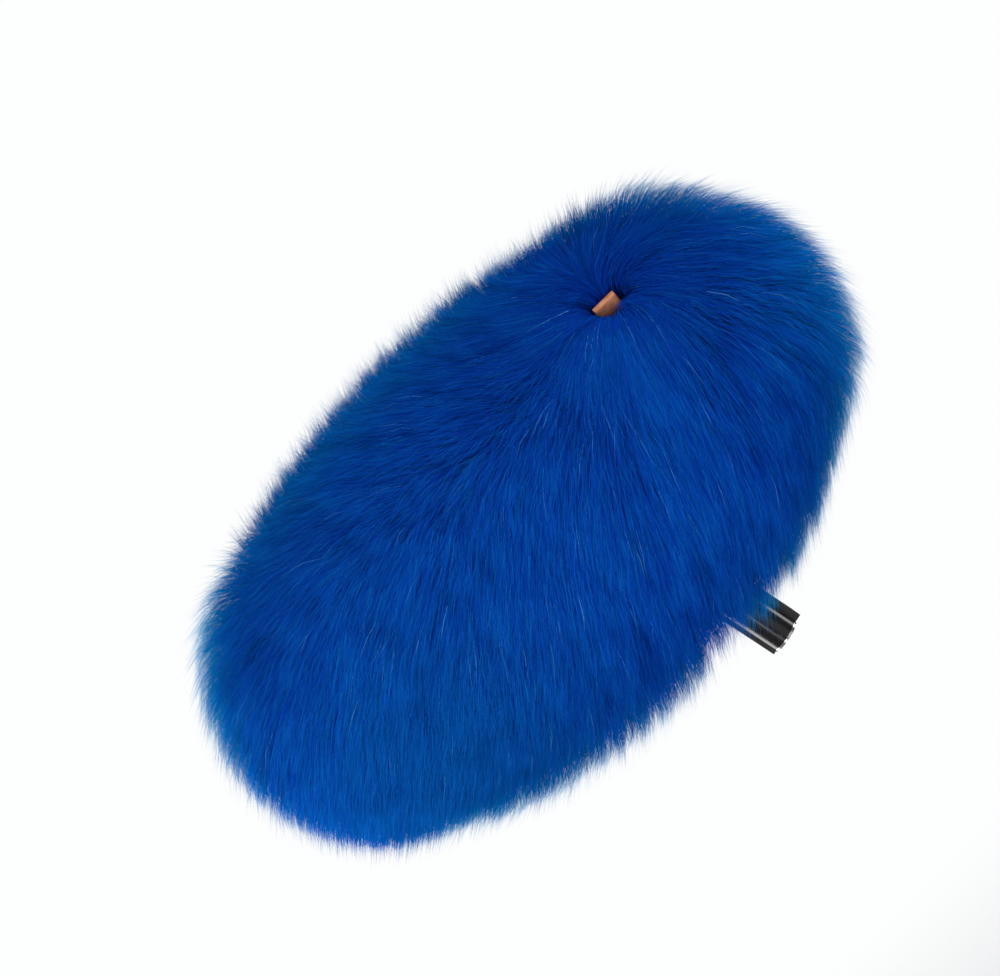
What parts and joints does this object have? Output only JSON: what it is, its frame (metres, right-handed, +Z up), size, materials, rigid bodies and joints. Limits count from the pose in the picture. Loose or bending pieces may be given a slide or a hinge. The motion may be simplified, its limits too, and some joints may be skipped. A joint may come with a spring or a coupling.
{
  "type": "furry microphone windscreen",
  "caption": "Long-pile fur cover over a capsule-shaped basket with inner microphone clips, on a tilting stem with a pole thread and an audio connector.",
  "frame": {"origin": "mouth of the pole thread in the stem's lower face, on the thread's axis", "axes": "+X along the basket towards its front, +Z up from the stem to the basket, square to X; the stem leans in the XZ plane"},
  "size_m": [0.432, 0.24, 0.2606],
  "materials": {
    "housing_plastic": "grained black moulding",
    "insert_steel": "machined",
    "plug_gloss": "smooth black lacquer",
    "bright_ring": "polished",
    "insulator": "matt black",
    "contact_brass": "plated",
    "bolt_steel": "dark zinc plated",
    "washer_fibre": "fibre",
    "knob_plastic": "moulded",
    "rail_metal": "black anodised",
    "soft_rubber": "matt",
    "lyre_plastic": "springy moulding",
    "clip_plastic": "moulded",
    "cage_plastic": "moulded",
    "acoustic_cloth": "fine open weave",
    "blue_fur": "long pile on knitted backing",
    "tan_leather": "smooth with raw edges",
    "zip_tape": "herringbone tape",
    "zip_teeth": "moulded coil",
    "slider_metal": "lacquered"
  },
  "bodies": {
    "stem": {"stem_housing": "housing_plastic", "thread_insert": "insert_steel", "plug_shell": "plug_gloss", "plug_ring": "bright_ring", "plug_insert": "insulator", "plug_contacts": "contact_brass", "pivot_bolt": "bolt_steel", "friction_washers": "washer_fibre"},
    "windshield": {"centre_cage": "cage_plastic", "centre_cloth": "acoustic_cloth", "front_ring": "cage_plastic", "rear_ring": "cage_plastic", "front_cap_cage": "cage_plastic", "front_cap_cloth": "acoustic_cloth", "rail": "rail_metal", "rail_feet": "soft_rubber", "yoke": "rail_metal", "yoke_screws": "bolt_steel", "lyre_screws": "bolt_steel", "front_lyre": "lyre_plastic", "rear_lyre": "lyre_plastic", "fur_panel_left": "blue_fur", "fur_panel_right": "blue_fur", "fur_panel_nose": "blue_fur", "pull_tab": "tan_leather", "stem_collar": "soft_rubber", "zip_tapes": "zip_tape", "zip_chain": "zip_teeth"},
    "tilt_knob": {"tilt_knob": "knob_plastic", "knob_bush": "contact_brass"},
    "rear_cap": {"rear_cap_cage": "cage_plastic", "rear_cap_cloth": "acoustic_cloth", "fur_panel_tail": "blue_fur"},
    "mic_cradle": {"front_clip": "clip_plastic", "rear_clip": "clip_plastic"},
    "zip_slider": {"zip_slider": "slider_metal", "zip_pull": "slider_metal"}
  },
  "joints": [
    {"name": "basket_tilt", "type": "hinge", "parent": "stem", "child": "windshield", "pos_m": [-0.01483, 0, 0.07097], "axis": [0, 1, 0], "range_deg": [-36.8, 13.2]},
    {"name": "knob_turn", "type": "hinge", "parent": "stem", "child": "tilt_knob", "pos_m": [-0.01483, 0, 0.07097], "axis": [0, 1, 0], "range_deg": [-300, 0]},
    {"name": "rear_cap_slide", "type": "slide", "parent": "windshield", "child": "rear_cap", "axis": [-1, 0, 0], "range_m": [0, 0.1]},
    {"name": "cradle_bounce", "type": "slide", "parent": "windshield", "child": "mic_cradle", "axis": [0, 0, 1], "range_m": [-0.004, 0.004], "stiffness_N_per_m": 1500, "deforming": ["front_lyre", "rear_lyre"]},
    {"name": "zip_slide", "type": "slide", "parent": "windshield", "child": "zip_slider", "axis": [1, 0, 0], "range_m": [0, 0.088]}
  ]
}
